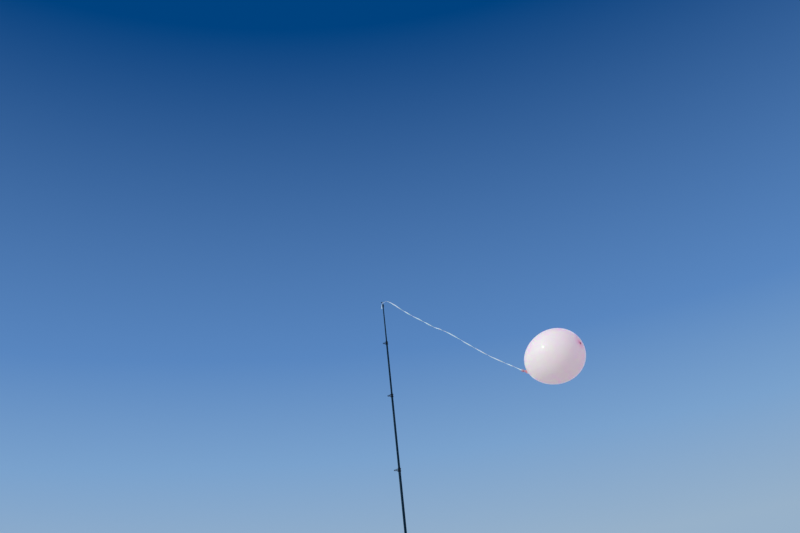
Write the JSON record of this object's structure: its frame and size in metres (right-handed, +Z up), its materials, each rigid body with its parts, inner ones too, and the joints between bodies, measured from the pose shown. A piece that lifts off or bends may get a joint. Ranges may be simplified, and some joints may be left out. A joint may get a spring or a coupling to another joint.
{
  "type": "party balloon on a telescopic rod",
  "caption": "Latex party balloon on a flat ribbon, tied to the tip ring of a slim telescopic rod with line guides, a reel seat and foam grips; the rod's sections slide into each other.",
  "frame": {"origin": "centre of the butt end's flat face, where a hand or a rod holder holds the rod", "axes": "+Z up the rod from the butt to the tip, -X the side that the guides and the reel seat face, +X the side that the wind carries the balloon to"},
  "size_m": [1.0483, 0.2951, 2.2766],
  "materials": {
    "blank": "glossy lacquer over dark fibre",
    "collar_plastic": "satin black",
    "steel": "polished",
    "plated_steel": "black-plated, satin",
    "ceramic": "polished dark grey",
    "foam": "matt closed-cell foam",
    "rubber": "matt",
    "seat_plastic": "satin",
    "ribbon_film": "pearly film with fine ribs",
    "latex": "smooth stretched latex, pale pink, slightly translucent",
    "drawn_latex": "unstretched latex, deeper pink"
  },
  "bodies": {
    "butt": {"butt_cap": "rubber", "rear_grip": "foam", "rear_trim_ring": "steel", "reel_seat_body": "seat_plastic", "reel_seat_fixed_hood": "seat_plastic", "reel_seat_sliding_hood": "seat_plastic", "reel_seat_lock_nut": "seat_plastic", "fore_grip": "foam", "front_trim_ring": "steel", "butt_tube": "blank", "butt_guide_collar": "collar_plastic", "butt_guide_frame": "plated_steel", "butt_guide_ring": "ceramic"},
    "section_2": {"section_2_tube": "blank", "section_2_guide_collar": "collar_plastic", "section_2_guide_frame": "plated_steel", "section_2_guide_ring": "ceramic"},
    "section_3": {"section_3_tube": "blank", "section_3_guide_collar": "collar_plastic", "section_3_guide_frame": "plated_steel", "section_3_guide_ring": "ceramic"},
    "section_4": {"section_4_tube": "blank", "section_4_guide_collar": "collar_plastic", "section_4_guide_frame": "plated_steel", "section_4_guide_ring": "ceramic"},
    "section_5": {"section_5_tube": "blank", "section_5_guide_collar": "collar_plastic", "section_5_guide_frame": "plated_steel", "section_5_guide_ring": "ceramic"},
    "tip": {"tip_blank": "blank", "tip_top_collar": "plated_steel", "tip_top_frame": "plated_steel", "tip_top_ring": "ceramic", "ribbon_tip_knot": "ribbon_film", "ribbon_tail": "ribbon_film", "ribbon": "ribbon_film", "ribbon_neck_knot": "ribbon_film", "balloon_envelope": "latex", "balloon_knot": "drawn_latex", "balloon_lip": "drawn_latex"}
  },
  "joints": [
    {"name": "section_2_slide", "type": "slide", "parent": "butt", "child": "section_2", "axis": [0, 0, -1], "range_m": [0, 0.38]},
    {"name": "section_3_slide", "type": "slide", "parent": "section_2", "child": "section_3", "axis": [0, 0, -1], "range_m": [0, 0.39]},
    {"name": "section_4_slide", "type": "slide", "parent": "section_3", "child": "section_4", "axis": [0, 0, -1], "range_m": [0, 0.374]},
    {"name": "section_5_slide", "type": "slide", "parent": "section_4", "child": "section_5", "axis": [0, 0, -1], "range_m": [0, 0.28]},
    {"name": "tip_slide", "type": "slide", "parent": "section_5", "child": "tip", "axis": [0, 0, -1], "range_m": [0, 0.206]}
  ]
}
